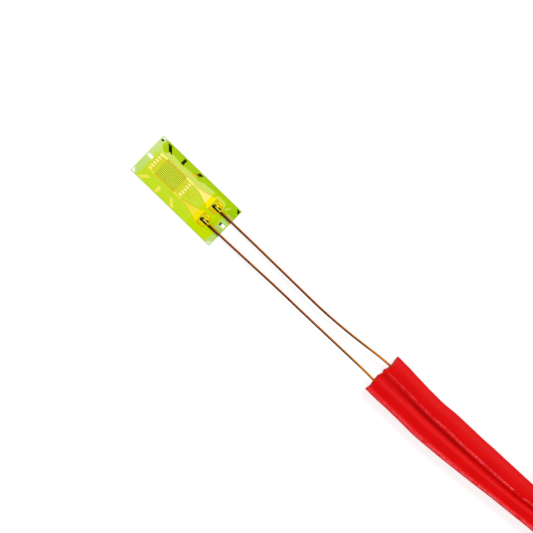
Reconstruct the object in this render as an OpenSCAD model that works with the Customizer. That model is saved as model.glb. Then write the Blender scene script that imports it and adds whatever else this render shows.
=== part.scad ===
// Foil strain gauge with enamelled gauge leads spliced into a flat two-core lead cable.
// Millimetres. The origin is the grid's centre on the bonding face.
// +X runs from the grid towards the leads, +Y across the film, +Z up out of the bonding face.

/* [Backing film] */
// Width of the backing film
base_w = 2.6; // [2.5:0.05:3.6]
// Thickness of the backing film
base_t = 0.04; // [0.02:0.005:0.08]
// Film left bare behind the grid's end loops
end_margin = 0.6; // [0.55:0.01:1]
// Film left bare past the solder tabs, under the leads
lead_margin = 0.88; // [0.6:0.01:1.2]

/* [Foil pattern] */
// Thickness of the etched foil
foil_t = 0.005; // [0.003:0.001:0.012]
// Active length of the grid, between the end loops
gauge_length = 2; // [1.6:0.1:3]
// Number of grid strands, always even
strand_count = 10; // [6:2:12]
// Width of one strand
strand_w = 0.046; // [0.03:0.002:0.06]
// Centre distance of neighbouring strands
strand_pitch = 0.09; // [0.08:0.002:0.1]
// Length of the widened loops at both ends of the grid
loop_l = 0.23; // [0.1:0.01:0.4]
// Width of the conductor along each side of the grid
bus_w = 0.11; // [0.06:0.01:0.16]
// Gap between the outermost strand and the side conductor
bus_gap = 0.038; // [0.02:0.002:0.06]
// Straight stretch of side conductor past the loops
bus_run = 0.07; // [0.02:0.01:0.3]
// Length over which a side conductor widens into its tab
flare_l = 1.37; // [0.8:0.01:2]
// Length of a solder tab
tab_l = 0.62; // [0.5:0.01:0.9]
// Width of a solder tab
tab_w = 0.76; // [0.6:0.01:0.9]
// Centre distance of the two solder tabs
tab_pitch = 0.96; // [0.94:0.01:1.2]
// Corner radius at a tab's free end
tab_r = 0.2; // [0.05:0.01:0.25]

/* [Alignment marks] */
// Length of the centre marks, and reach of the diagonal ones
mark_l = 0.36; // [0.2:0.01:0.4]
// Width of the centre marks and the diagonal ones, square to their length
mark_w = 0.18; // [0.1:0.01:0.24]
// Distance of the marks from the film's edge
mark_inset = 0.09; // [0.05:0.01:0.12]
// Leg length of the corner marks
corner_l = 0.21; // [0.12:0.01:0.3]
// Leg width of the corner marks
corner_w = 0.085; // [0.04:0.005:0.1]
// Distance of the corner marks from the film's edges
corner_inset = 0.05; // [0.03:0.01:0.1]
// Side of the square batch mark between the flares
batch_w = 0.34; // [0.16:0.01:0.4]
// Line width of the batch mark
batch_line = 0.07; // [0.03:0.01:0.07]

/* [Cover film] */
// Thickness of the cover film above the foil
cover_t = 0.025; // [0.01:0.005:0.05]
// Length of flare left uncovered in front of the tabs
exposed_l = 0.3; // [0.1:0.01:0.6]

/* [Solder joints] */
// Rim of tab left free round a solder joint
solder_margin = 0.03; // [0.01:0.01:0.08]
// Height of the solder over its tab
solder_h = 0.055; // [0.03:0.005:0.08]
// Width of the solder ridge that wets the lead
ridge_w = 0.26; // [0.2:0.01:0.4]
// Height of the solder ridge over the tab
ridge_h = 0.095; // [0.07:0.005:0.105]
// Solder left under the lead
lead_gap = 0.012; // [0.01:0.002:0.02]

/* [Gauge leads] */
// Diameter of the copper wire
core_d = 0.1; // [0.08:0.01:0.14]
// Thickness of the enamel on the wire
enamel_t = 0.0125; // [0.008:0.0005:0.02]
// Length of wire stripped of enamel at the tab
bare_l = 0.54; // [0.3:0.01:0.7]
// How far a wire's tip lies from the start of its tab
tip_inset = 0.16; // [0.1:0.01:0.25]
// Free length of the leads between the film and the cable
lead_span = 11.68; // [8:0.01:20]
// Length of lead inside the cable's core
lead_in = 2; // [1.2:0.1:3]

/* [Lead cable] */
// Width of the two-core cable
cable_w = 1.95; // [1.8:0.05:2.2]
// Thickness of the two-core cable
cable_t = 1; // [0.9:0.05:1.2]
// Depth of the groove between the two cores
groove = 0.24; // [0.1:0.02:0.3]
// Width of the cable where it is spread over the splices
spread_w = 2.46; // [2.2:0.02:2.7]
// Sideways offset of the cable from the gauge axis
cable_y = 0.31; // [0:0.01:0.6]
// Centre distance of the two bores at the spread end
bore_pitch = 1.2; // [1.1:0.02:1.3]
// Diameter of the bore in each core
bore_d = 0.36; // [0.3:0.02:0.42]
// Length of the solder splice inside each core
splice_l = 1.5; // [1:0.1:2]
// Length of bare strand seated behind each splice
strand_in = 2; // [1:0.1:3]

/* [Cable store] */
// Radius of the coil at the middle of its turns
coil_r = 12; // [11:0.5:14]
// Number of full turns stacked in the coil
coil_turns = 3; // [2:1:5]
// Share of a turn that lies on top of the coil
tail_turn = 0.62; // [0.5:0.01:0.66]
// Length of the two cores split apart at the far end
split_l = 8; // [5:0.5:12]
// Sideways parting of each core at the far end
split_gap = 0.32; // [0.1:0.02:0.5]
// Length of stripped, tinned strand on each core
strip_l = 5; // [3:0.5:7]
// Angle round the coil at which the tie sits
tie_angle = 75; // [40:5:110]
// Width of the tie's band
tie_w = 1.8; // [1.2:0.1:3]
// Thickness of the tie's band
tie_t = 0.3; // [0.2:0.05:0.5]
// Clearance between the tie and the turns
tie_clear = 0.1; // [0.08:0.01:0.2]
// Length of the twisted ends of the tie
twist_l = 5; // [3:0.5:8]

/* [Hidden] */

LEFT = 1;
RIGHT = -1;
wire_sides = 12;
cord_sides = 8;
round_sides = 48;
twist_turns = 3;

// Stations along the gauge axis
loop_x = gauge_length / 2 + loop_l;
flare_x = loop_x + bus_run;
tab_x = flare_x + flare_l;
tab_end = tab_x + tab_l;
film_back = -loop_x - end_margin;
film_front = tab_end + lead_margin;
cover_x = tab_x - exposed_l;
cable_x = film_front + lead_span;
film_mid_x = (film_back + film_front) / 2;

// Heights above the bonding face
foil_z = base_t + foil_t;
cover_z = foil_z + cover_t;
lead_z = foil_z + lead_gap + core_d / 2;
cable_z = cable_t / 2;

// Places across the gauge
outer_strand_y = (strand_count - 1) / 2 * strand_pitch;
bus_y = outer_strand_y + strand_w / 2 + bus_gap + bus_w / 2;
tab_y = tab_pitch / 2;

// Gauge leads: tip on the tab, bare end, then points of the free span as [share of span, sideways bow]
enamel_d = core_d + 2 * enamel_t;
tip_x = tab_x + tip_inset;
bare_x = tip_x + bare_l;
lead_end_x = cable_x + lead_in;
left_bow = [
    [0.06, -0.03], [0.22, -0.09], [0.38, -0.18], [0.54, -0.245], [0.62, -0.26],
    [0.7, -0.24], [0.78, -0.195], [0.86, -0.125], [0.94, -0.05]
];
right_bow = [
    [0.1, 0], [0.25, 0.005], [0.4, 0.012], [0.55, 0.012], [0.7, 0.016], [0.85, 0.015], [0.94, 0.006]
];

// Splices and strands inside the spread end of the cable
splice_x = lead_end_x - splice_l * 0.6;
strand_x = splice_x + splice_l;
bore_end = strand_x + strand_in;
strand_d = bore_d;

// Route of the cable from its cut end to the coil, as offsets from the middle of that end
cable_route = [
    [0, 0], [1.2, 0], [2.4, 0], [3.6, 0], [4.6, 0.04], [5.6, 0.1], [6.6, 0.17], [7.6, 0.23], [8.6, 0.3],
    [9.6, 0.36], [10.6, 0.43], [11.4, 0.48], [12.2, 0.51], [13, 0.52]
];
spread_start = 3.6;
spread_end = 11.6;

// Coil beyond the route's end, fed along +X into its lowest turn
feed = cable_route[len(cable_route) - 1];
feed_l = sqrt(pow(coil_r + cable_w, 2) - coil_r * coil_r) + 0.4;
coil_x = cable_x + feed[0] + feed_l;
coil_y = cable_y + feed[1] + coil_r;
coil_h = coil_turns * cable_t;
feed_angle = -90;
tail_start = feed_angle + 20;
tail_end = feed_angle + 360 * tail_turn;
core_w = cable_w / 2;
degrees_per_mm = 180 / PI / coil_r;
split_end = tail_end + split_l * degrees_per_mm;
strip_end = split_end + strip_l * degrees_per_mm;

function smooth(t) = let(c = min(1, max(0, t))) c * c * (3 - 2 * c);

// A smooth line through the given points, with steps pieces between neighbours
function spline(p, steps = 3) = let(last = len(p) - 1) concat(
    [for (i = [0:last - 1], k = [0:steps - 1])
        let(
            t = k / steps,
            a = i == 0 ? 2 * p[0] - p[1] : p[i - 1],
            b = p[i],
            c = p[i + 1],
            d = i == last - 1 ? 2 * p[last] - p[last - 1] : p[i + 2]
        )
        b + t / 2 * (c - a + t * (2 * a - 5 * b + 4 * c - d + t * (3 * b - a - 3 * c + d)))],
    [p[last]]
);

function unit(v) = v / norm(v);

// The direction of a line of points at one of them
function heading(line, i) = unit(line[min(i + 1, len(line) - 1)] - line[max(i - 1, 0)]);

// A section of [across, up] points set square to a line at one of its points
function placed(section, line, i) = let(
    ahead = heading(line, i),
    across = unit(cross([0, 0, 1], ahead)),
    up = cross(ahead, across)
) [for (q = section) line[i] + across * q[0] + up * q[1]];

function disc(d, sides) = [for (k = [0:sides - 1]) let(a = (k + 0.5) * 360 / sides) d / 2 * [cos(a), sin(a)]];

// Two cores side by side with a groove between them
function twin_section(w) = let(shoulder = w * 0.27, waist = cable_t / 2 - groove) [
    [w / 2, 0], [shoulder, cable_t / 2], [0, waist], [-shoulder, cable_t / 2],
    [-w / 2, 0], [-shoulder, -cable_t / 2], [0, -waist], [shoulder, -cable_t / 2]
];

// The same section at every point of a line but its first and last, which only give it direction
function inner_rings(section, line) = [for (i = [1:len(line) - 2]) placed(section, line, i)];

// Faces of a wall over rings of n points each, the first of them numbered from base
function wall(base, rings, n) = [for (i = [0:rings - 2], k = [0:n - 1])
    let(a = base + i * n + k, b = base + i * n + (k + 1) % n)
    each [[a, b, a + n], [b, b + n, a + n]]];

// A solid skinned over closed rings that all have the same number of points
module skin(rings) {
    n = len(rings[0]);
    last = (len(rings) - 1) * n;
    caps = [[for (k = [n - 1:-1:0]) k], [for (k = [0:n - 1]) last + k]];
    polyhedron([for (r = rings, p = r) p], concat(caps, wall(0, len(rings), n)));
}

// A coat between two diameters along the inner points of a line
module pipe(line, inner_d, outer_d, sides) {
    outer = inner_rings(disc(outer_d, sides), line);
    inner = inner_rings(disc(inner_d, sides), line);
    count = len(outer) * sides;
    last = count - sides;
    inside = [for (f = wall(count, len(inner), sides)) [f[2], f[1], f[0]]];
    ends = [for (k = [0:sides - 1])
        let(next = (k + 1) % sides)
        each [
            [next, k, count + k], [next, count + k, count + next],
            [last + k, last + next, count + last + next], [last + k, count + last + next, count + last + k]
        ]];
    polyhedron([for (r = concat(outer, inner), p = r) p], concat(wall(0, len(outer), sides), inside, ends));
}

// Middle of one core at the cable's cut end
function core_y(side) = cable_y + side * bore_pitch / 2;

// Points along the coated stretch of a lead, from its bare end on the tab to the splice in the cable
function lead_line(side) = let(
    start = [bare_x, side * tab_y, lead_z],
    end = [cable_x, core_y(side), cable_z],
    bow = side == LEFT ? left_bow : right_bow
) concat(
    spline(concat([start], [for (b = bow) start + b[0] * (end - start) + [0, b[1], 0]], [end])),
    [[splice_x, core_y(side), cable_z]]
);

// The same line with its bare ends, one soldered to the tab and one in the splice
function wire_line(side) = concat(
    [[tip_x, side * tab_y, lead_z]],
    lead_line(side),
    [[lead_end_x, core_y(side), cable_z]]
);

module lead_wire(side) {
    line = wire_line(side);
    color("peru") skin([for (i = [0:len(line) - 1]) placed(disc(core_d, wire_sides), line, i)]);
}

module lead_enamel(side) {
    color("chocolate") pipe(wire_line(side), core_d, enamel_d, wire_sides);
}

// A straight bare end of a lead, as a cutter for what is soldered to it
module lead_seat(from, l) {
    translate(from) rotate([0, 90, 0]) rotate([0, 0, 180 / wire_sides])
        cylinder(d = core_d, h = l, $fn = wire_sides);
}

// A low pillow of solder on the tab, with a ridge that wets the lead's bare end
module solder_joint(side) {
    pillow_l = tab_l - 2 * solder_margin;
    pillow_w = tab_w - 2 * solder_margin;
    pillow_r = (pillow_w * pillow_w / 4 + solder_h * solder_h) / (2 * solder_h);
    ridge_r = (ridge_w * ridge_w / 4 + ridge_h * ridge_h) / (2 * ridge_h);
    ridge_l = tab_end - solder_margin - tip_x;
    color("khaki") difference() {
        translate([tab_x + solder_margin, side * tab_y, foil_z]) {
            intersection() {
                translate([pillow_l / 2, 0, solder_h - pillow_r]) sphere(pillow_r, $fn = round_sides);
                translate([0, -pillow_w / 2, 0]) cube([pillow_l, pillow_w, solder_h]);
            }
            intersection() {
                translate([tip_inset - solder_margin, 0, ridge_h - ridge_r]) rotate([0, 90, 0])
                    cylinder(r = ridge_r, h = ridge_l, $fn = round_sides);
                translate([0, -ridge_w / 2, 0]) cube([pillow_l, ridge_w, ridge_h]);
            }
        }
        lead_seat([tip_x, side * tab_y, lead_z], tab_l);
    }
}

module base_film() {
    color("yellowgreen") translate([film_back, -base_w / 2, 0])
        cube([film_front - film_back, base_w, base_t]);
}

// A plain bar of foil from x over the length l, centred on y
module foil_bar(x, y, l, w) {
    translate([x, y - w / 2, base_t]) cube([l, w, foil_t]);
}

module foil_layer() {
    translate([0, 0, base_t]) linear_extrude(foil_t) children();
}

// The left side conductor, joined to the outermost strand and widening smoothly into its solder tab
module side_conductor() {
    steps = 14;
    flare = [for (i = [0:steps]) let(t = i / steps, s = t * t * (1.9 - 0.9 * t)) [
        flare_x + t * flare_l,
        bus_y + (tab_y - bus_y) * s,
        (bus_w + (tab_w - bus_w) * s) / 2
    ]];
    rounded_end = [for (a = [0:15:90]) [
        tab_end - tab_r + tab_r * sin(a),
        tab_y,
        tab_w / 2 - tab_r + tab_r * cos(a)
    ]];
    edge = concat([[-loop_x, bus_y, bus_w / 2]], flare, rounded_end);
    foil_layer() polygon(concat(
        [for (e = edge) [e[0], e[1] + e[2]]],
        [for (i = [len(edge) - 1:-1:0]) [edge[i][0], edge[i][1] - edge[i][2]]]
    ));
    foil_bar(-loop_x, (outer_strand_y + bus_y) / 2, loop_l, bus_y - outer_strand_y + strand_w);
}

function strand_y(i) = i * strand_pitch - outer_strand_y;

// Strands, the loops that join them in pairs at both ends, and the conductors down both sides
module grid_foil() {
    loop_w = strand_pitch + strand_w;
    color("gold") {
        for (i = [0:strand_count - 1]) foil_bar(-loop_x, strand_y(i), 2 * loop_x, strand_w);
        for (i = [0:2:strand_count - 2]) foil_bar(gauge_length / 2, strand_y(i + 0.5), loop_l, loop_w);
        for (i = [1:2:strand_count - 3]) foil_bar(-loop_x, strand_y(i + 0.5), loop_l, loop_w);
        for (side = [LEFT, RIGHT]) scale([1, side, 1]) side_conductor();
    }
}

// Bars on the grid's two axes, at the middle of each edge
module centre_marks() {
    color("gold") {
        for (y = [-base_w / 2 + mark_inset, base_w / 2 - mark_inset - mark_l])
            foil_bar(-mark_w / 2, y + mark_l / 2, mark_w, mark_l);
        for (x = [film_back + mark_inset, film_front - mark_inset - mark_l]) foil_bar(x, 0, mark_l, mark_w);
    }
}

// Slanted bars on the two lines at 45 degrees through the grid's centre
module diagonal_marks() {
    outer = base_w / 2 - mark_inset;
    inner = outer - mark_l;
    color("gold") foil_layer() for (sx = [-1, 1], sy = [-1, 1])
        polygon([for (p = [[outer, -1], [outer, 1], [inner, 1], [inner, -1]])
            [sx * (p[0] + p[1] * mark_w / sqrt(2)), sy * p[0]]]);
}

// A bracket in each corner of the film
module corner_marks() {
    color("gold") for (end = [[film_back, 1], [film_front, -1]], sy = [-1, 1])
        translate([end[0], -sy * base_w / 2, base_t]) scale([end[1], sy, 1])
            translate([corner_inset, corner_inset, 0]) {
                cube([corner_l, corner_w, foil_t]);
                cube([corner_w, corner_l, foil_t]);
            }
}

// Plain open square between the two flares
module batch_mark() {
    color("gold") foil_layer() translate([flare_x + batch_w / 2, 0]) difference() {
        square(batch_w, center = true);
        square(batch_w - 2 * batch_line, center = true);
    }
}

// Laminated over the grid, with the foil's own pattern pressed into its underside
module cover_film() {
    color("greenyellow", 0.5) difference() {
        translate([film_back, -base_w / 2, base_t])
            cube([cover_x - film_back, base_w, cover_z - base_t]);
        grid_foil();
        centre_marks();
        diagonal_marks();
        corner_marks();
        batch_mark();
    }
}

// A round stretch along the bore of one core
module in_core(side, from_x, l) {
    translate([from_x, core_y(side), cable_z]) rotate([0, 90, 0])
        cylinder(d = bore_d, h = l, $fn = round_sides);
}

module splice(side) {
    color("silver") difference() {
        in_core(side, splice_x, splice_l);
        lead_seat([splice_x, core_y(side), cable_z], lead_end_x - splice_x);
    }
}

module strand(side) {
    color("silver") in_core(side, strand_x, strand_in);
}

function cable_line() = [for (p = spline(cable_route, 2)) [cable_x + p[0], cable_y + p[1], cable_z]];

// Width of the cable at x, spread over the splices and narrowing to its own width
function cable_width(x) = let(t = (x - cable_x - spread_start) / (spread_end - spread_start))
    spread_w + (cable_w - spread_w) * smooth(t);

module cable_run() {
    line = cable_line();
    color("red") difference() {
        skin([for (i = [0:len(line) - 1]) placed(twin_section(cable_width(line[i][0])), line, i)]);
        for (side = [LEFT, RIGHT]) in_core(side, cable_x - bore_d, bore_end - cable_x + bore_d);
    }
}

module at_coil(a) {
    translate([coil_x, coil_y, 0]) rotate([0, 0, a]) translate([coil_r, 0, 0]) children();
}

// Outer shape of the stacked turns, the straight feed into the lowest one, and a seat under them for the tie
module cable_coil() {
    color("red") difference() {
        union() {
            translate([coil_x, coil_y, 0]) rotate_extrude($fn = 96)
                translate([coil_r - cable_w / 2, 0]) square([cable_w, coil_h]);
            translate([coil_x - feed_l, coil_y - coil_r - cable_w / 2, 0]) cube([feed_l, cable_w, cable_t]);
        }
        at_coil(tie_angle) translate([0, 0, tie_t / 2]) cube([2 * cable_w, tie_w, tie_t], center = true);
    }
}

// Points round the top of the coil, with an offset outwards that changes smoothly along the way
function coil_line(from_a, to_a, from_out, to_out, steps) = [for (i = [-1:steps + 1])
    let(
        t = i / steps,
        a = from_a + (to_a - from_a) * t,
        r = coil_r + from_out + (to_out - from_out) * smooth(t)
    )
    [coil_x + r * cos(a), coil_y + r * sin(a), coil_h + cable_t / 2]];

module cable_tail() {
    color("red") skin(inner_rings(twin_section(cable_w), coil_line(tail_start, tail_end, 0, 0, 24)));
}

// The turns go round to the left, so the left core lies inside
module tail_core(side) {
    line = coil_line(tail_end, split_end, -side * core_w / 2, -side * (core_w / 2 + split_gap), 6);
    color("red") skin(inner_rings(disc(core_w, cord_sides), line));
}

module tail_strand(side) {
    out = -side * (core_w / 2 + split_gap);
    line = coil_line(split_end, strip_end, out, out, 4);
    color("silver") skin(inner_rings(disc(strand_d, cord_sides), line));
}

// Plastic-covered twist tie: a band round the turns, closed by its two twisted ends inside the coil
module coil_tie() {
    inner_w = cable_w + 2 * tie_clear;
    inner_h = coil_h + cable_t + tie_clear;
    color("white") at_coil(tie_angle) {
        translate([0, tie_w / 2, tie_t]) rotate([90, 0, 0]) linear_extrude(tie_w) difference() {
            translate([-inner_w / 2 - tie_t, -tie_t]) square([inner_w + 2 * tie_t, inner_h + 2 * tie_t]);
            translate([-inner_w / 2, 0]) square([inner_w, inner_h]);
        }
        translate([-inner_w / 2 - tie_t / 2, 0, inner_h / 2]) rotate([0, -90, 0])
            linear_extrude(twist_l, twist = 360 * twist_turns, slices = 48)
                square([2 * tie_t, tie_w / 2], center = true);
    }
}

base_film();
grid_foil();
centre_marks();
diagonal_marks();
corner_marks();
batch_mark();
cover_film();
solder_joint(LEFT);  // left_solder_joint
solder_joint(RIGHT);  // right_solder_joint
lead_wire(LEFT);  // left_lead_wire
lead_wire(RIGHT);  // right_lead_wire
lead_enamel(LEFT);  // left_lead_enamel
lead_enamel(RIGHT);  // right_lead_enamel
splice(LEFT);  // left_splice
splice(RIGHT);  // right_splice
strand(LEFT);  // left_strand
strand(RIGHT);  // right_strand
cable_run();
cable_coil();
cable_tail();
tail_core(LEFT);  // left_tail_core
tail_core(RIGHT);  // right_tail_core
tail_strand(LEFT);  // left_tail_strand
tail_strand(RIGHT);  // right_tail_strand
coil_tie();
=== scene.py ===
import math

import bmesh
import bpy
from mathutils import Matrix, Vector


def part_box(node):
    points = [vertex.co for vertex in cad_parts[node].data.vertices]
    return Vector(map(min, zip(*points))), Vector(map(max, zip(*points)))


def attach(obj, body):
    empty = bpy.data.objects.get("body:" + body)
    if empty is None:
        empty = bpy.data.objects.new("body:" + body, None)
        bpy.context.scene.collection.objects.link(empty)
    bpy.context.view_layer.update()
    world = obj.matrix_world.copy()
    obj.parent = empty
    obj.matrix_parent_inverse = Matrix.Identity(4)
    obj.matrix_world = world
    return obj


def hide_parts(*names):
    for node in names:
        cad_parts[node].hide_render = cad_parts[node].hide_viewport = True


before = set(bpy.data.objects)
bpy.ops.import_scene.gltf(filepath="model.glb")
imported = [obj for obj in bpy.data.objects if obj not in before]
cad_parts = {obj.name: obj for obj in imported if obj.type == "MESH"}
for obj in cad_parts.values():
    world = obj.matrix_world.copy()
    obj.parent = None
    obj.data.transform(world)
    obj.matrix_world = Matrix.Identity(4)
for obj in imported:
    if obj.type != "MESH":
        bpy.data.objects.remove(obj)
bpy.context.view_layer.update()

# Camera
# The gauge lies flat and is looked at from straight above, turned so that its axis runs
# down to the right. A long lens from close by gives the flat, even drawing of a product shot.
MM = 0.001
view_middle = Vector((7.225 * MM, 0.086 * MM, 0))
view_width = 29.22 * MM
axis_turn = math.radians(44.17)
camera_data = bpy.data.cameras.new("camera")
camera_data.lens = 100
camera_data.clip_start = 1 * MM
camera_height = view_width * camera_data.lens / camera_data.sensor_width
camera = bpy.data.objects.new("camera", camera_data)
camera.location = view_middle + Vector((0, 0, camera_height))
camera.rotation_euler = (0, 0, axis_turn)
bpy.context.scene.collection.objects.link(camera)
bpy.context.scene.camera = camera

# Lead cable
# Flat two-core cable in soft red vinyl, extruded with a groove between its cores. Its cut end is
# spread over the splices of the gauge leads, and the length that isn't used is coiled flat.
cable_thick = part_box("cable_run")[1].z
cable_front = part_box("cable_run")[0].x
cable_half = 0.975 * MM
cable_middle_y = 0.31 * MM
core_spacing = 0.6 * MM
groove_rise = 0.38 * MM
coiled_groove_rise = 0.32 * MM
edge_fullness = 2 / 2.6
groove_fullness = 2 / 3.6
groove_dip = 0.96
lobe_points = 30
bore_radius = 0.18 * MM
bore_depth = 4.6 * MM
bore_set_back = 0.04 * MM
cut_face_map = (-1, 0.4)
ragged_rings = 4
line_step = 0.25 * MM
coil_radius = 12 * MM
coil_step = math.radians(5)
coil_wander = 0.09 * MM
wander_pace = 0.83
wander_start = 0.4
coil_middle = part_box("cable_coil")[1].xy - Vector((coil_radius + cable_half, coil_radius + cable_half))
tail_turned = 3.62 * math.tau
tie_angle = math.radians(75)
tie_thick = 0.3 * MM

# The route from the middle of the cut end up to the coil, as offsets along and across
cable_route = [
    (0, 0), (1.2, 0), (2.4, 0), (3.6, 0), (4.6, 0.04), (5.6, 0.1), (6.6, 0.17), (7.6, 0.23), (8.6, 0.3),
    (9.6, 0.36), (10.6, 0.43), (11.4, 0.48), (12.2, 0.51), (13, 0.52),
]
# Left edge, right edge and groove, measured from the middle line, by distance from the cut end
spread = [
    (0, 1.26, 1.26, -0.04), (0.7, 1.255, 1.265, -0.04), (1.3, 1.22, 1.24, -0.04), (2.4, 1.17, 1.235, -0.04),
    (3.4, 1.16, 1.25, -0.045), (4.4, 1.205, 1.22, -0.05), (5.4, 1.17, 1.2, -0.08), (6.4, 1.11, 1.17, -0.12),
    (7.4, 1.095, 1.13, -0.14), (8.4, 1.05, 1.08, -0.15), (9.4, 1.01, 1.04, -0.14), (10.4, 0.98, 1.02, -0.1),
    (12, 0.975, 0.975, 0),
]
# How far the knife left the cut end from square, by place across the cable
ragged_cut = [
    (-1.24, -0.12), (-0.95, -0.04), (-0.75, -0.06), (-0.56, -0.13), (-0.44, -0.08), (-0.28, -0.13),
    (0.04, -0.04), (0.2, -0.1), (0.38, 0), (0.75, 0.03), (0.95, -0.02), (1.24, -0.07),
]


def eased(share):
    """A share from 0 to 1 that starts and stops gently."""
    share = min(1, max(0, share))
    return share * share * (3 - 2 * share)


def between(rows, at):
    """Values at a place in rows that start with their place, straight from row to row."""
    for low, high in zip(rows, rows[1:]):
        if at <= high[0]:
            share = max(0, (at - low[0]) / (high[0] - low[0]))
            return [a + (b - a) * share for a, b in zip(low[1:], high[1:])]
    return list(rows[-1][1:])


def smooth_line(points, step):
    """Points about one step apart on a smooth curve through the given ones."""
    ends = [2 * points[0] - points[1]] + list(points) + [2 * points[-1] - points[-2]]
    line = []
    for a, b, c, d in zip(ends, ends[1:], ends[2:], ends[3:]):
        pieces = max(1, round((c - b).length / step))
        for k in range(pieces):
            t = k / pieces
            bend = (2 * a - 5 * b + 4 * c - d) * t * t + (3 * b - a - 3 * c + d) * t * t * t
            line.append((2 * b + (c - a) * t + bend) / 2)
    return line + [points[-1].copy()]


def coil_point(turned, radius):
    """Place on the coil after a turn from where the cable joins it, each turn laid on the last."""
    climb_start = math.radians(270)
    climb_end = math.radians(320)
    tie_hump = math.radians(20)
    whole = math.floor(turned / math.tau)
    level = whole + eased((turned - whole * math.tau - climb_start) / (climb_end - climb_start))
    around = turned - math.pi / 2
    off_tie = math.remainder(around - tie_angle, math.tau) / tie_hump
    lift = tie_thick * max(0, 1 - off_tie * off_tie) ** 2
    out = Vector((math.cos(around), math.sin(around))) * radius
    return (coil_middle + out).to_3d() + Vector((0, 0, (level + 0.5) * cable_thick + lift))


def placed(section, line, i):
    """A section of (left, up) points set square to a curved line at its point i."""
    if i == 0:
        ahead = 4 * line[1] - 3 * line[0] - line[2]
    elif i == len(line) - 1:
        ahead = 3 * line[i] - 4 * line[i - 1] + line[i - 2]
    else:
        ahead = line[i + 1] - line[i - 1]
    ahead.normalize()
    left = Vector((0, 0, 1)).cross(ahead).normalized()
    up = ahead.cross(left)
    return [line[i] + left * a + up * b for a, b in section]


def drawn(made, rings, run=0):
    """Draws a tube from ring to ring and returns its ends, mapped by mm along from run and place around."""
    seam_side = 0.8
    around = made.loops.layers.uv.verify()
    count = len(rings[0])
    first = ring = [made.verts.new(point) for point in rings[0]]
    rim = [made.edges.new(pair) for pair in zip(ring, ring[1:] + ring[:1])]
    spots = {vert: (run, k / count) for k, vert in enumerate(ring)}
    for before, points in zip(rings, rings[1:]):
        run += (sum(points, Vector()) - sum(before, Vector())).length / count / MM
        grown = bmesh.ops.extrude_edge_only(made, edges=rim)["geom"]
        ring = [item for item in grown if isinstance(item, bmesh.types.BMVert)]
        rim = [item for item in grown if isinstance(item, bmesh.types.BMEdge)]
        for k, (vert, point) in enumerate(zip(ring, points)):
            vert.co = point
            spots[vert] = (run, k / count)
        for face in [item for item in grown if isinstance(item, bmesh.types.BMFace)]:
            face.smooth = True
            closes = any(spots[vert][1] > seam_side for vert in face.verts)
            for corner in face.loops:
                length, place = spots[corner.vert]
                corner[around].uv = (length, 1 if closes and place == 0 else place)
    return first, ring


def finished(name, made):
    """The object of a bmesh, with crisp rims on flat faces, riding on the part."""
    bmesh.ops.recalc_face_normals(made, faces=made.faces)
    for edge in made.edges:
        edge.smooth = all(face.smooth for face in edge.link_faces)
    mesh = bpy.data.meshes.new(name)
    made.to_mesh(mesh)
    made.free()
    piece = bpy.data.objects.new(name, mesh)
    bpy.context.scene.collection.objects.link(piece)
    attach(piece, "root")
    return piece


def rim_point(angle, fullness):
    """A point on a rounded section that is as fuller than a circle as its fullness is under 1."""
    across = math.copysign(abs(math.cos(angle)) ** fullness, math.cos(angle))
    up = math.copysign(abs(math.sin(angle)) ** fullness, math.sin(angle))
    return across, up


def twin_section(left, right, groove, bed):
    """Two cores with a groove down to its bed between them, from the groove on top round by the left."""
    half = cable_thick / 2
    lip = math.pi - math.asin((bed / half) ** (1 / groove_fullness))
    lobes = []
    for sign, width in ((1, left - groove), (-1, right + groove)):
        lobe = []
        for k in range(lobe_points):
            angle = lip - 2 * lip * k / (lobe_points - 1)
            out, up = rim_point(angle, groove_fullness if math.cos(angle) < 0 else edge_fullness)
            lobe.append((groove + sign * width * (1 + out) / 2, half * up))
        lobes.append(lobe)
    trough = bed * groove_dip
    return [(groove, trough)] + lobes[0] + [(groove, -trough)] + lobes[1][::-1]


def close_cut_end(made, loop):
    """Closes the cut end round the bores that the gauge leads go into, mapped before the tube's start."""
    around = made.loops.layers.uv.verify()
    half = len(loop) // 2
    closing = []
    for sign, lobe in ((1, loop[: half + 1]), (-1, loop[half:] + [loop[0]])):
        bore_y = cable_middle_y + sign * core_spacing
        middle = Vector((cable_front + bore_set_back, bore_y, cable_thick / 2))
        spokes = [((vert.co - middle) * Vector((0, 1, 1))).normalized() for vert in lobe]
        rim = [made.verts.new(middle + spoke * bore_radius) for spoke in spokes]
        bottom = [made.verts.new(vert.co + Vector((bore_depth, 0, 0))) for vert in rim]
        for k in range(len(lobe)):
            after = (k + 1) % len(lobe)
            closing.append(made.faces.new((lobe[k], lobe[after], rim[after], rim[k])))
            closing.append(made.faces.new((rim[k], rim[after], bottom[after], bottom[k])))
        closing.append(made.faces.new(bottom))
    for face in closing:
        for corner in face.loops:
            corner[around].uv = cut_face_map


route = [Vector((cable_front + x * MM, cable_middle_y + y * MM, cable_thick / 2)) for x, y in cable_route]
coil_entry = coil_point(0, coil_radius)
feed = [route[-1].lerp(coil_entry, share) for share in (0.35, 0.7)]
cable_line = smooth_line(route + feed + [coil_entry], line_step)
run_count = len(cable_line)
coil_steps = round(tail_turned / coil_step)
for step in range(1, coil_steps + 1):
    turned = tail_turned * step / coil_steps
    swing = 0.5 + 0.5 * math.sin(turned * wander_pace + wander_start)
    wander = coil_wander * swing * min(1, turned) * min(1, tail_turned - turned)
    cable_line.append(coil_point(turned, coil_radius - wander))

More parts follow.
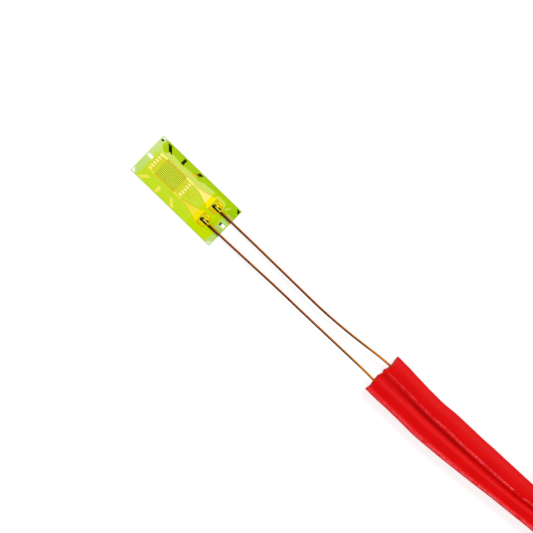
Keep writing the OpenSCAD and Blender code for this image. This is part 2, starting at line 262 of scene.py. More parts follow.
cable_rings = []
for i, point in enumerate(cable_line):
    run = (point.x - cable_front) / MM if i < run_count else spread[-1][0]
    left, right, groove = [side * MM for side in between(spread, run)]
    bed = groove_rise + (coiled_groove_rise - groove_rise) * min(1, run / spread[-1][0])
    cable_rings.append(placed(twin_section(left, right, groove, bed), cable_line, i))
for i in range(ragged_rings):
    for point in cable_rings[i]:
        left_by_knife = between(ragged_cut, (point.y - cable_middle_y) / MM)[0] * MM
        point.x += left_by_knife * (1 - i / ragged_rings)

made = bmesh.new()
front_loop, back_loop = drawn(made, cable_rings)
close_cut_end(made, front_loop)
made.faces.new(back_loop)
cable = finished("lead_cable", made)
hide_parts("cable_run", "cable_coil", "cable_tail")


def colour(red, green, blue):
    """A colour as it looks on a screen, from 0 to 255, in the values that shaders take."""
    levels = [c / 255 for c in (red, green, blue)]
    return tuple(((c + 0.055) / 1.055) ** 2.4 if c > 0.04 else c / 12.92 for c in levels) + (1,)


def new_finish(name):
    """A new material, the tree that its nodes go into and its main shader."""
    finish = bpy.data.materials.new(name)
    finish.use_nodes = True
    return finish, finish.node_tree, finish.node_tree.nodes["Principled BSDF"]


def add(tree, kind, inputs, **settings):
    """A node with its settings, whose inputs are values or other nodes' outputs."""
    node = tree.nodes.new(kind)
    for name, value in settings.items():
        setattr(node, name, value)
    for socket, value in inputs.items():
        if isinstance(value, bpy.types.NodeSocket):
            tree.links.new(value, node.inputs[socket])
        else:
            node.inputs[socket].default_value = value
    return node


def reckon(tree, operation, *values):
    """The result of a sum on values over the surface."""
    return add(tree, "ShaderNodeMath", dict(enumerate(values)), operation=operation).outputs[0]


def rise(tree, value, low, high):
    """A mask that goes smoothly from 0 at low to 1 at high, whichever is the larger."""
    span = {"Value": value, "From Min": low, "From Max": high, "To Min": 0.0, "To Max": 1.0}
    if low > high:
        span.update({"From Min": high, "From Max": low, "To Min": 1.0, "To Max": 0.0})
    return add(tree, "ShaderNodeMapRange", span, interpolation_type="SMOOTHSTEP").outputs[0]


def both(tree, *masks):
    """Where all masks hold."""
    held = masks[0]
    for mask in masks[1:]:
        held = reckon(tree, "MULTIPLY", held, mask)
    return held


def either(tree, *masks):
    """Where any of the masks holds."""
    held = masks[0]
    for mask in masks[1:]:
        held = reckon(tree, "MAXIMUM", held, mask)
    return held


def band(tree, value, low, high, soft):
    """A mask that is 1 between low and high, with soft edges outside them."""
    return both(tree, rise(tree, value, low - soft, low), rise(tree, value, high + soft, high))


def lay_on(tree, mask, under, over):
    """Colour over laid on colour under where the mask says."""
    return add(tree, "ShaderNodeMix", {0: mask, 6: under, 7: over}, data_type="RGBA").outputs[2]


def place_on_part(tree):
    """A spot's place on the part, in millimetres."""
    seat = add(tree, "ShaderNodeTexCoord", {}).outputs["Object"]
    return add(tree, "ShaderNodeMapping", {"Vector": seat, "Scale": [1 / MM] * 3}).outputs[0]


def place_on_tube(tree):
    """How far along a drawn tube a spot lies, in millimetres, and its place around it, from 0 to 1."""
    split = add(tree, "ShaderNodeSeparateXYZ", {0: add(tree, "ShaderNodeUVMap", {}).outputs[0]})
    return split.outputs["X"], split.outputs["Y"]


# Fine grain and slow clouds over a surface, for every finish that isn't quite even
grain_tree = bpy.data.node_groups.new("surface_grain", "ShaderNodeTree")
grain_tree.interface.new_socket("Place", in_out="INPUT", socket_type="NodeSocketVector")
grain_tree.interface.new_socket("Fineness", in_out="INPUT", socket_type="NodeSocketFloat")
grain_tree.interface.new_socket("Grain", in_out="OUTPUT", socket_type="NodeSocketFloat")
grain_tree.interface.new_socket("Clouds", in_out="OUTPUT", socket_type="NodeSocketFloat")
grain_in = grain_tree.nodes.new("NodeGroupInput").outputs
grain_out = grain_tree.nodes.new("NodeGroupOutput").inputs
slow = reckon(grain_tree, "MULTIPLY", grain_in["Fineness"], 0.12)
for scale, detail, output in ((grain_in["Fineness"], 4.0, "Grain"), (slow, 2.0, "Clouds")):
    noise_inputs = {"Vector": grain_in["Place"], "Scale": scale, "Detail": detail}
    noise = add(grain_tree, "ShaderNodeTexNoise", noise_inputs)
    grain_tree.links.new(noise.outputs["Fac"], grain_out[output])


def grained(tree, place, fineness):
    """Grain and clouds at a place."""
    node = add(tree, "ShaderNodeGroup", {}, node_tree=grain_tree)
    tree.links.new(place, node.inputs["Place"])
    node.inputs["Fineness"].default_value = fineness
    return node.outputs["Grain"], node.outputs["Clouds"]


def roughen(tree, surface, height, strength, depth):
    """Small hollows and swells in a surface."""
    bump = add(tree, "ShaderNodeBump", {"Height": height, "Strength": strength, "Distance": depth})
    tree.links.new(bump.outputs[0], surface.inputs["Normal"])


# Places around the cable go from 0 at the groove on top, over the left core, to 1 at the groove again
vinyl, tree, surface = new_finish("red_vinyl")
length_on, round_on = place_on_tube(tree)
at = place_on_part(tree)
grain, clouds = grained(tree, at, 7.0)
red = lay_on(tree, rise(tree, clouds, 0.35, 0.65), colour(212, 3, 5), colour(218, 5, 7))
# Painted sheen on the top of each core
painted_sheen = either(tree, band(tree, round_on, 0.15, 0.2, 0.06), band(tree, round_on, 0.912, 0.93, 0.014))
red = lay_on(tree, painted_sheen, red, colour(221, 24, 25))
# Painted light: the outer flank of the right core painted brighter, fading out towards the tail
flank_light_reach = rise(tree, length_on, 276.0, 255.0)
lit_low_flank = both(tree, band(tree, round_on, 0.71, 0.84, 0.035), flank_light_reach)
red = lay_on(tree, lit_low_flank, red, colour(244, 26, 29))
# Painted shade in the groove between the cores, deepest over the middle of the front run
groove_shade = either(tree, rise(tree, round_on, 0.04, 0.014), rise(tree, round_on, 0.962, 0.986))
middle_run = band(tree, length_on, 3.2, 5.4, 3.0)
red = lay_on(tree, groove_shade, red, lay_on(tree, middle_run, colour(200, 2, 3), colour(166, 0, 1)))
# Speckled painted highlights on the left core's slope into the groove and on the right core's outer edge,
# over the front run only
fine, swells = grained(tree, at, 17.0)
highlight_run = both(tree, rise(tree, length_on, -4.0, 9.0), rise(tree, length_on, 40.0, 14.0))
highlight_specks = both(tree, rise(tree, fine, 0.4, 0.64), rise(tree, swells, 0.32, 0.56), highlight_run)
ridge_highlight = both(tree, band(tree, round_on, 0.063, 0.072, 0.014), highlight_specks)
red = lay_on(tree, ridge_highlight, red, colour(250, 100, 108))
edge_highlight = both(tree, band(tree, round_on, 0.802, 0.83, 0.02), highlight_specks)
red = lay_on(tree, edge_highlight, red, colour(255, 124, 132))
# The cut end face painted bright red, as painted light against the shade it stands in
red = lay_on(tree, rise(tree, length_on, -0.4, -0.6), red, colour(250, 34, 38))
tree.links.new(red, surface.inputs["Base Color"])
tree.links.new(rise(tree, grain, -0.8, 1.5), surface.inputs["Roughness"])
surface.inputs["Specular IOR Level"].default_value = 0.05
roughen(tree, surface, grain, 0.25, 0.02 * MM)
cable.data.materials.append(vinyl)

# Split cores of the tail
# At the far end the two cores are pulled apart for a few millimetres. Each is vinyl insulated
# wire, still flat where it leaves its neighbour and rounder where it was cut with a knife.
core_radius = cable_half / 2
split_gap = 0.32 * MM
split_length = 8 * MM
strip_length = 5 * MM
split_at_mm = 287
split_end = tail_turned + split_length / coil_radius
strip_end = split_end + strip_length / coil_radius
parted = core_radius + split_gap
core_sides = 28
core_steps = 32


def circle(radius, sides):
    """A round section from its left side over the top."""
    angles = [math.tau * k / sides for k in range(sides)]
    return [(radius * math.cos(angle), radius * math.sin(angle)) for angle in angles]


def tail_line(side, first, last, near, far, steps):
    """A line on top of the coil that drifts from one distance beside its middle to another."""
    line = []
    for k in range(steps + 1):
        share = k / steps
        out = near + (far - near) * eased(share)
        line.append(coil_point(first + (last - first) * share, coil_radius - side * out))
    return line


for side, label in ((1, "left"), (-1, "right")):
    line = tail_line(side, tail_turned, split_end, core_radius, parted, core_steps)
    rings = []
    for i in range(len(line)):
        fullness = edge_fullness + (1 - edge_fullness) * eased(2 * i / len(line))
        rim = [rim_point(math.tau * k / core_sides, fullness) for k in range(core_sides)]
        rings.append(placed([(core_radius * a, cable_thick / 2 * b) for a, b in rim], line, i))
    made = bmesh.new()
    for end in drawn(made, rings, split_at_mm):
        made.faces.new(end)
    core = finished(label + "_split_core", made)
    core.data.materials.append(vinyl)
    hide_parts(label + "_tail_core")

# Stripped ends of the tail
# Seven fine tinned copper wires twisted into one strand, bare for connecting. The insulation
# was cut round and pulled off them.
outer_wires = 6
wire_radius = 0.058 * MM
wire_sides = 8
lay_radius = 2.02 * wire_radius
twist_pitch = 3.2 * MM
strand_steps = 30
tinned, tree, surface = new_finish("tinned_wire")
grain = grained(tree, place_on_part(tree), 12.0)[0]
tin = lay_on(tree, rise(tree, grain, 0.3, 0.7), colour(176, 174, 168), colour(214, 212, 205))
tree.links.new(tin, surface.inputs["Base Color"])
tree.links.new(rise(tree, grain, -0.5, 1.9), surface.inputs["Roughness"])
surface.inputs["Metallic"].default_value = 1.0
for side, label in ((1, "left"), (-1, "right")):
    line = tail_line(side, split_end, strip_end, parted, parted, strand_steps)
    made = bmesh.new()
    for k in range(outer_wires + 1):
        out = lay_radius if k < outer_wires else 0
        rings = []
        for i in range(len(line)):
            turn = math.tau * (k / outer_wires + strip_length * i / strand_steps / twist_pitch)
            middle = (out * math.cos(turn), out * math.sin(turn))
            ring = [(middle[0] + a, middle[1] + b) for a, b in circle(wire_radius, wire_sides)]
            rings.append(placed(ring, line, i))
        for end in drawn(made, rings):
            made.faces.new(end)
    strand = finished(label + "_stripped_end", made)
    strand.data.materials.append(tinned)
    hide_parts(label + "_tail_strand")

# Splices and conductors inside the cable
# Each gauge lead is soldered into the end of its core's tinned strand, inside the spread end.
# The vinyl covers both, so they keep their plain solids.
for node in ("left_splice", "right_splice", "left_strand", "right_strand"):
    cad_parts[node].material_slots[0].material = tinned

# Coil tie
# A white plastic strip with a wire along its middle, bent round the turns by hand. Its two ends
# are twisted together inside the coil.
tie_width = 1.8 * MM
tie_bend = 0.5 * MM
tie_gap = 0.1 * MM
strip_sides = 28
strip_fullness = 0.6
strip_edge = 0.45
wire_swell = 0.3
twist_length = 5 * MM
twist_turns = 2.5
twist_steps = 60
twist_width = 0.46 * tie_width
twist_thick = 0.95 * tie_thick
outwards = Vector((math.cos(tie_angle), math.sin(tie_angle), 0))
sideways = Vector((-outwards.y, outwards.x, 0))
upwards = Vector((0, 0, 1))
tie_half = cable_half + tie_gap + tie_thick / 2
tie_base = coil_middle.to_3d() + outwards * coil_radius + upwards * tie_thick / 2
tie_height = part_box("coil_tie")[1].z - tie_thick


def strip_section(width, thick):
    """A flat strip with round edges, thickest over the wire in its middle."""
    section = []
    for k in range(strip_sides):
        across, up = rim_point(math.tau * k / strip_sides, strip_fullness)
        ridge = strip_edge + (1 - strip_edge) * math.exp(-((across / wire_swell) ** 2))
        section.append((width / 2 * across, thick / 2 * up * ridge))
    return section


bend_middles = [
    (tie_half - tie_bend, tie_bend, -90), (tie_half - tie_bend, tie_height - tie_bend, 0),
    (tie_bend - tie_half, tie_height - tie_bend, 90), (tie_bend - tie_half, tie_bend, 180),
]
loop = []
for out, up, start in bend_middles:
    for turn in range(0, 91, 10):
        angle = math.radians(start + turn)
        reach = outwards * (out + tie_bend * math.cos(angle)) + upwards * (up + tie_bend * math.sin(angle))
        loop.append(tie_base + reach)
rings = []
for i in range(len(loop) + 1):
    ahead = (loop[(i + 1) % len(loop)] - loop[i - 1 if i < len(loop) else -1]).normalized()
    facing = ahead.cross(sideways)
    point = loop[i % len(loop)]
    rings.append([point + sideways * a + facing * b for a, b in strip_section(tie_width, tie_thick)])
made = bmesh.new()
drawn(made, rings)
bmesh.ops.remove_doubles(made, verts=made.verts, dist=0.001 * MM)
twist_start = tie_base - outwards * tie_half + upwards * tie_height / 2
twist_section = strip_section(twist_width, twist_thick)
for sign in (1, -1):
    rings = []
    for i in range(twist_steps + 1):
        turn = math.tau * twist_turns * i / twist_steps
        wide = sideways * math.cos(turn) + upwards * math.sin(turn)
        thick = upwards * math.cos(turn) - sideways * math.sin(turn)
        point = twist_start - outwards * twist_length * i / twist_steps + thick * sign * tie_thick / 2
        rings.append([point + wide * a + thick * b for a, b in twist_section])
    for end in drawn(made, rings):
        made.faces.new(end)
tie = finished("twist_tie", made)
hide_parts("coil_tie")
strip, tree, surface = new_finish("white_tie")
grain, clouds = grained(tree, place_on_part(tree), 5.0)
white = lay_on(tree, rise(tree, clouds, 0.3, 0.7), colour(214, 214, 209), colour(230, 230, 227))
tree.links.new(white, surface.inputs["Base Color"])
tree.links.new(rise(tree, grain, -0.6, 1.8), surface.inputs["Roughness"])
roughen(tree, surface, grain, 0.2, 0.02 * MM)
tie.data.materials.append(strip)

# Backing film
# A thin glossy polyimide film, tinted yellow-green and cut to a rectangle. It carries the foil and is
# bonded to the thing that is measured. Its paler and deeper patches are painted reflections of the studio
# light, and it is paler where the cover lies on it.
cover_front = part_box("cover_film")[1].x / MM
tab_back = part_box("left_solder_joint")[0].x / MM
# Places and sizes for the finishes, in millimetres from the grid's centre
lead_offset = 0.48
film_half = 1.3
film_front = 4.17
film_middle = 1.17
film_edge = 0.04
bracket_end = 2.94
bracket_side = 1.23
spot_along = -1.67
spot_across = 1.105
strands_back = -1.0
strands_front = 0.97
window_back = -0.73
window_front = 0.7
grid_half = 0.5


def along_and_across(tree, at):
    """How far a place lies from the grid's centre towards the leads, and how far to the left."""
    split = add(tree, "ShaderNodeSeparateXYZ", {0: at})
    return split.outputs["X"], split.outputs["Y"]


def beside_lead(tree, across):
    """How far a spot lies to the left of the lead wire on its own half of the gauge."""
    return reckon(tree, "MULTIPLY_ADD", reckon(tree, "SIGN", across), -lead_offset, across)


def dark_reflection_spot(tree, along, across):
    """The painted dark reflection spot inside the bracket at the film's back left corner."""
    ahead = reckon(tree, "SUBTRACT", along, spot_along)
    beside = reckon(tree, "SUBTRACT", across, spot_across)
    apart = reckon(tree, "MULTIPLY_ADD", ahead, ahead, reckon(tree, "MULTIPLY", beside, beside))
    return rise(tree, apart, 0.0085, 0.004)


def squared_off(tree, value, middle, half):
    """How many half widths a value is from a middle, raised for the outline of a rounded square."""
    shares = reckon(tree, "DIVIDE", reckon(tree, "SUBTRACT", value, middle), half)
    return reckon(tree, "POWER", shares, 4.0)


film, tree, surface = new_finish("yellow_green_film")
at = place_on_part(tree)
along, across = along_and_across(tree, at)
grain, clouds = grained(tree, at, 4.0)
ripples = grained(tree, at, 14.0)[1]
uncovered = rise(tree, along, cover_front - 0.01, cover_front + 0.01)
covered = rise(tree, along, cover_front + 0.01, cover_front - 0.01)
green = lay_on(tree, rise(tree, across, -1.2, 0.2), colour(193, 222, 24), colour(200, 221, 48))
green = lay_on(tree, uncovered, green, colour(194, 220, 0))
# Painted reflections of the glossy film: pale where it mirrors the studio light, deeper along the left edge
# where it mirrors none, with a wavering line between
past_grid = reckon(tree, "MAXIMUM", reckon(tree, "SUBTRACT", along, 1.1), 0.0)
reflection_line = reckon(tree, "MULTIPLY_ADD", past_grid, -0.14, across)
reflection_line = reckon(tree, "MULTIPLY_ADD", ripples, 0.25, reflection_line)
reflection_line = reckon(tree, "MULTIPLY_ADD", band(tree, along, -1.22, -1.14, 0.28), 0.16, reflection_line)
high_edge = both(tree, rise(tree, reflection_line, 0.96, 1.04), rise(tree, along, -1.62, -1.45))
beside_tab = both(tree, rise(tree, along, 2.4, 2.62), rise(tree, across, 0.62, 0.86))
high_edge = either(tree, high_edge, beside_tab)
painted_reflection = both(tree, rise(tree, reflection_line, 1.04, 0.96), rise(tree, across, 0.4, 0.62), covered)
green = lay_on(tree, painted_reflection, green, colour(207, 226, 92))
green = lay_on(tree, high_edge, green, colour(170, 204, 0))
# A painted reflection round the left tab
off_tab = reckon(tree, "ADD", squared_off(tree, along, 2.91, 0.42), squared_off(tree, across, 0.47, 0.56))
tab_reflection = rise(tree, off_tab, 1.15, 0.9)
tab_reflection = both(tree, tab_reflection, uncovered, rise(tree, across, -0.05, 0.8), rise(tree, along, 2.5, 2.6))
green = lay_on(tree, tab_reflection, green, colour(206, 226, 70))
between_tabs = both(tree, band(tree, along, 3.38, 3.58, 0.12), band(tree, across, -0.2, 0.3, 0.2))
green = lay_on(tree, between_tabs, green, colour(184, 214, 4))
# A painted reflection streak beside the left tab
leaning = reckon(tree, "MULTIPLY_ADD", across, -0.75, along)
reflection_streak = both(tree, band(tree, leaning, 2.86, 2.91, 0.05), band(tree, across, 0.78, 0.98, 0.1))
green = lay_on(tree, reflection_streak, green, colour(214, 232, 104))
# Painted reflections at the front and back ends, and a deeper front left corner where none is painted
wavy = reckon(tree, "MULTIPLY_ADD", clouds, 0.4, along)
right_dent = both(tree, rise(tree, across, -1.25, -0.6), rise(tree, across, -0.32, -0.5))
front_wave = reckon(tree, "MULTIPLY_ADD", right_dent, -0.17, wavy)
front_reflection = both(tree, rise(tree, front_wave, 3.86, 3.98), rise(tree, across, 0.74, 0.6))
green = lay_on(tree, front_reflection, green, colour(186, 218, 104))
front_corner = both(tree, rise(tree, wavy, 3.74, 3.86), rise(tree, across, 0.66, 0.8))
green = lay_on(tree, front_corner, green, colour(160, 203, 6))
back_reflection = rise(tree, wavy, -1.14, -1.36)
back_reflection_tint = lay_on(tree, rise(tree, across, -0.7, 0.4), colour(190, 222, 112), colour(204, 227, 134))
green = lay_on(tree, back_reflection, green, back_reflection_tint)
# Where the film shows between the grid's strands it is painted darker, as painted shade between them
grid_width = band(tree, across, -grid_half, grid_half, 0.02)
strand_ends = both(tree, band(tree, along, strands_back, strands_front, 0.02), grid_width)
green = lay_on(tree, strand_ends, green, colour(194, 206, 16))
under_grid = both(tree, band(tree, along, window_back, window_front, 0.02), grid_width)
green = lay_on(tree, under_grid, green, colour(138, 165, 0))
off_axis = reckon(tree, "ABSOLUTE", across)
side_edge = rise(tree, off_axis, film_half - film_edge, film_half)
cut_edge = either(tree, side_edge, rise(tree, along, film_front - film_edge, film_front))
green = lay_on(tree, reckon(tree, "MULTIPLY", cut_edge, 0.8), green, colour(144, 178, 14))
# The inner corners of the corner brackets, filled as the brackets are coloured, in white, pale and dark
# painted reflections
off_middle = reckon(tree, "ABSOLUTE", reckon(tree, "SUBTRACT", along, film_middle))
from_end = reckon(tree, "SUBTRACT", bracket_end, off_middle)
from_side = reckon(tree, "SUBTRACT", bracket_side, off_axis)
in_corner = rise(tree, reckon(tree, "ADD", from_end, from_side), 0.25, 0.2)
in_corner = both(tree, in_corner, rise(tree, from_end, 0.0, 0.03), rise(tree, from_side, 0.0, 0.03))
in_corner = both(tree, in_corner, either(tree, rise(tree, along, 0.0, 1.0), rise(tree, across, 1.0, 0.0)))
corner_tint = lay_on(tree, rise(tree, along, 0.0, 1.0), colour(250, 248, 244), colour(216, 233, 192))
corner_tint = lay_on(tree, rise(tree, across, 0.0, 1.0), corner_tint, colour(2, 20, 0))
green = lay_on(tree, in_corner, green, corner_tint)
green = lay_on(tree, dark_reflection_spot(tree, along, across), green, colour(2, 20, 0))
# The dark line that each lead shows beside itself in the glossy film, painted as the lead's shadow and dark
# reflection on top of its real shadow
off_lead = beside_lead(tree, across)
narrowing = reckon(tree, "MULTIPLY_ADD", along, -0.045, off_lead)
lead_shade = both(tree, rise(tree, narrowing, -0.27, -0.25), rise(tree, off_lead, -0.02, -0.05))
lead_shade = both(tree, lead_shade, rise(tree, along, 3.2, 3.3))
green = lay_on(tree, lead_shade, green, colour(20, 16, 0))
tree.links.new(green, surface.inputs["Base Color"])
tree.links.new(rise(tree, grain, -0.3, 2.6), surface.inputs["Roughness"])
surface.inputs["Specular IOR Level"].default_value = 0.03
roughen(tree, surface, clouds, 0.15, 0.05 * MM)
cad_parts["base_film"].material_slots[0].material = film

# Etched grid foil
# A thin sheet of copper-nickel foil, etched to ten strands joined by end loops, with side
# conductors that flare out into the solder tabs. It takes most skill to make.
loop_pitch = 0.18
bar_offset = 0.521
bar_half = 0.055
tab_half = 0.38
flare_back = 1.3
flare_front = 2.67
foil, tree, surface = new_finish("etched_foil")
at = place_on_part(tree)
along, across = along_and_across(tree, at)
clouds = grained(tree, at, 9.0)[1]
off_axis = reckon(tree, "ABSOLUTE", across)
in_grid = both(tree, rise(tree, off_axis, 0.47, 0.46), rise(tree, along, 1.27, 1.25))
etched = band(tree, along, window_back, window_front, 0.02)
# The left side of the foil painted paler, as a painted reflection
yellow = lay_on(tree, rise(tree, across, -0.3, 0.4), colour(236, 220, 56), colour(252, 235, 126))
yellow = lay_on(tree, in_grid, yellow, colour(222, 218, 50))
off_loop = reckon(tree, "PINGPONG", across, loop_pitch / 2)
# Painted highlights down the middle of the end loops
back_loops = both(tree, rise(tree, along, -0.99, -1.03), rise(tree, off_loop, 0.035, 0.053))
front_loops = both(tree, band(tree, along, 1.0, 1.18, 0.03), rise(tree, off_loop, 0.055, 0.037))
loop_ends = both(tree, in_grid, either(tree, rise(tree, along, -0.98, -1.02), rise(tree, along, 0.97, 1.0)))
yellow = lay_on(tree, loop_ends, yellow, colour(214, 192, 30))
loop_highlights = both(tree, in_grid, either(tree, back_loops, front_loops))
yellow = lay_on(tree, loop_highlights, yellow, colour(255, 244, 146))
side_bars = both(tree, etched, rise(tree, off_axis, 0.46, 0.47))
orange = lay_on(tree, rise(tree, across, -0.2, 0.2), colour(212, 196, 20), colour(220, 190, 50))
yellow = lay_on(tree, side_bars, yellow, orange)
yellow = lay_on(tree, both(tree, etched, in_grid), yellow, colour(222, 230, 60))
bare = rise(tree, along, cover_front - 0.01, cover_front + 0.01)
bare_yellow = lay_on(tree, rise(tree, across, -0.2, 0.2), colour(238, 220, 0), colour(251, 227, 0))
yellow = lay_on(tree, bare, yellow, bare_yellow)
yellow = lay_on(tree, rise(tree, along, tab_back - 0.04, tab_back), yellow, colour(216, 192, 0))
# The etched edges of the side conductors, which widen from the end of the grid to the tabs
flare = {"Value": along, "From Min": flare_back, "From Max": flare_front}
flared = add(tree, "ShaderNodeMapRange", flare).outputs[0]
widening = reckon(tree, "MULTIPLY_ADD", flared, -0.9, 1.9)
widening = both(tree, flared, flared, widening)
middle = reckon(tree, "MULTIPLY_ADD", widening, lead_offset - bar_offset, bar_offset)
half_width = reckon(tree, "MULTIPLY_ADD", widening, tab_half - bar_half, bar_half)
off_middle = reckon(tree, "ABSOLUTE", reckon(tree, "SUBTRACT", off_axis, middle))
from_edge = reckon(tree, "SUBTRACT", half_width, off_middle)
edges = both(tree, band(tree, from_edge, -0.01, 0.02, 0.03), band(tree, along, flare_back, 2.5, 0.12))
yellow = lay_on(tree, reckon(tree, "MULTIPLY", edges, 0.8), yellow, colour(212, 184, 0))
tree.links.new(yellow, surface.inputs["Base Color"])
tree.links.new(rise(tree, clouds, -0.5, 1.5), surface.inputs["Roughness"])
surface.inputs["Metallic"].default_value = 0.2
surface.inputs["Specular IOR Level"].default_value = 0.05
roughen(tree, surface, clouds, 0.05, 0.01 * MM)
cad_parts["grid_foil"].material_slots[0].material = foil

# Alignment marks and the small square
# Left standing in the foil by the same etching, for setting the gauge on scribed lines. Their colours are
# painted reflections: on the left edge most of them are painted dark, and on the other edges painted
# bright.
mark, tree, surface = new_finish("etched_marks")
at = place_on_part(tree)
along, across = along_and_across(tree, at)
grain, clouds = grained(tree, at, 8.0)
bright = lay_on(tree, rise(tree, clouds, 0.3, 0.7), colour(238, 222, 76), colour(246, 230, 96))
# Painted reflections: white on the marks at both ends, dark on the left edge
at_ends = either(tree, rise(tree, along, -1.3, -1.36), rise(tree, along, 3.6, 3.7))
bright = lay_on(tree, at_ends, bright, colour(250, 248, 244))
wander = reckon(tree, "MULTIPLY_ADD", grain, 0.1, across)
bright = lay_on(tree, rise(tree, wander, 0.87, 0.95), bright, colour(2, 20, 0))
shadowed_end = both(tree, band(tree, along, 3.7, 3.83, 0.05), band(tree, across, -0.2, 0.2, 0.02))
bright = lay_on(tree, shadowed_end, bright, colour(84, 90, 70))
broken = reckon(tree, "MULTIPLY_ADD", grain, 0.3, across)
half_mark = both(tree, band(tree, along, 0.6, 1.2, 0.1), rise(tree, broken, 1.23, 1.16))
half_mark = both(tree, half_mark, rise(tree, across, 0.5, 0.6))
bright = lay_on(tree, half_mark, bright, colour(236, 204, 30))
bright = lay_on(tree, both(tree, half_mark, rise(tree, grain, 0.54, 0.6)), bright, colour(80, 70, 0))
# The back left bracket: painted white and pale reflections, with the painted dark reflection spot inside
back_left = both(tree, rise(tree, along, -1.5, -1.55), rise(tree, across, 0.9, 1.0))
corner_leg = lay_on(tree, dark_reflection_spot(tree, along, across), colour(178, 214, 64), colour(2, 20, 0))
back_corner = lay_on(tree, rise(tree, across, 1.13, 1.17), corner_leg, colour(250, 250, 240))
bright = lay_on(tree, back_left, bright, back_corner)
front_left_rim = both(tree, rise(tree, along, 3.6, 3.7), rise(tree, across, 1.215, 1.235))
bright = lay_on(tree, front_left_rim, bright, colour(164, 203, 6))
# Painted pale reflection on the front right marks
front_right = both(tree, rise(tree, along, 3.6, 3.7), rise(tree, across, -0.9, -1.0))
bright = lay_on(tree, front_right, bright, colour(220, 235, 200))
tree.links.new(bright, surface.inputs["Base Color"])
tree.links.new(rise(tree, grain, -0.5, 2.2), surface.inputs["Roughness"])
surface.inputs["Metallic"].default_value = 0.2
surface.inputs["Specular IOR Level"].default_value = 0.02
for node in ("centre_marks", "diagonal_marks", "corner_marks"):
    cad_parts[node].material_slots[0].material = mark

faint, tree, surface = new_finish("faint_square")
grain = grained(tree, place_on_part(tree), 8.0)[0]
tint = lay_on(tree, rise(tree, grain, 0.4, 0.6), colour(196, 200, 8), colour(222, 214, 30))
tree.links.new(tint, surface.inputs["Base Color"])
tree.links.new(rise(tree, grain, -0.5, 2.2), surface.inputs["Roughness"])
surface.inputs["Specular IOR Level"].default_value = 0.02
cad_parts["batch_mark"].material_slots[0].material = faint

# Cover film
# A clear film laminated over the grid, which ends square before the solder tabs. Its upper edges
# are a little rounded, and it is slightly cloudy.
cover_rounding = 0.008 * MM
glue_thick = 0.002 * MM
cover_low, cover_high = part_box("cover_film")
cover_low.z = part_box("grid_foil")[1].z + glue_thick
made = bmesh.new()
bmesh.ops.create_cube(made, size=1)
size = cover_high - cover_low
bmesh.ops.scale(made, vec=size, verts=made.verts)
bmesh.ops.translate(made, vec=(cover_low + cover_high) / 2, verts=made.verts)
rims = [edge for edge in made.edges if all(vert.co.z > cover_low.z + size.z / 2 for vert in edge.verts)]
bmesh.ops.bevel(
    made, geom=rims, offset=cover_rounding, affect="EDGES", segments=2, profile=0.5, material=-1
)
cover = finished("clear_cover", made)
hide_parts("cover_film")
clear, tree, surface = new_finish("clear_film")
grain, clouds = grained(tree, place_on_part(tree), 4.0)
pale = lay_on(tree, rise(tree, clouds, 0.3, 0.7), colour(226, 234, 150), colour(236, 240, 170))
tree.links.new(pale, surface.inputs["Base Color"])
tree.links.new(reckon(tree, "MULTIPLY", clouds, 0.016), surface.inputs["Alpha"])
tree.links.new(rise(tree, grain, -0.3, 3.6), surface.inputs["Roughness"])
roughen(tree, surface, clouds, 0.1, 0.05 * MM)
cover.data.materials.append(clear)

# Solder joints
# A low pillow of solder on each tab, drawn up along the wire and hollow behind its tip. The seams beside
# the wire are painted dark as shade, and a dark patch lies beside the wire at the far end of the pillow.
tip_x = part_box("left_lead_wire")[0].x
tip = tip_x / MM
pillow_height = 0.052 * MM
rim_steepness = 4
ridge_height = 0.036 * MM
ridge_spread = 0.1 * MM
ridge_start = 0.04 * MM
ridge_fade = 0.08 * MM
hollow_depth = 0.03 * MM
hollow_back = 0.04 * MM
hollow_length = 0.09 * MM
hollow_spread = 0.14 * MM
solder, tree, surface = new_finish("yellow_solder")
at = place_on_part(tree)
along, across = along_and_across(tree, at)
grain, clouds = grained(tree, at, 7.0)
off_lead = beside_lead(tree, across)
off_wire = reckon(tree, "ABSOLUTE", off_lead)
gold = lay_on(tree, rise(tree, clouds, 0.35, 0.65), colour(212, 188, 0), colour(224, 206, 0))
# The hollow behind the tip painted green, as a painted reflection of the film
hollow = both(tree, rise(tree, off_wire, 0.26, 0.2), band(tree, along, 2.74, 2.9, 0.04))
gold = lay_on(tree, hollow, gold, colour(204, 214, 24))
rim = either(tree, rise(tree, off_wire, 0.27, 0.33), rise(tree, along, 3.18, 3.24))
gold = lay_on(tree, rim, gold, colour(206, 172, 0))
along_wire = rise(tree, along, tip - 0.04, tip + 0.02)
# Painted shade in the seams beside the wire, and a dark patch beside it at the far end of the pillow
low_seam = both(tree, band(tree, off_lead, -0.12, -0.04, 0.025), along_wire)
high_seam = both(tree, band(tree, off_lead, 0.04, 0.085, 0.025), along_wire)
dark_patch = both(tree, band(tree, along, 3.11, 3.24, 0.04), band(tree, off_lead, 0.03, 0.11, 0.03))
past_tip = reckon(tree, "SUBTRACT", along, tip + 0.02)
below_tip = reckon(tree, "ADD", off_lead, 0.05)
from_tip = reckon(tree, "MULTIPLY_ADD", past_tip, past_tip, reckon(tree, "MULTIPLY", below_tip, below_tip))
seam_shade = either(tree, low_seam, reckon(tree, "MULTIPLY", high_seam, 0.9), dark_patch)
gold = lay_on(tree, seam_shade, gold, colour(18, 8, 0))
gold = lay_on(tree, rise(tree, from_tip, 0.013, 0.006), gold, colour(34, 6, 2))
tree.links.new(gold, surface.inputs["Base Color"])
tree.links.new(rise(tree, grain, -0.2, 2.4), surface.inputs["Roughness"])
surface.inputs["Metallic"].default_value = 0.3
surface.inputs["Specular IOR Level"].default_value = 0.05
roughen(tree, surface, clouds, 0.25, 0.03 * MM)
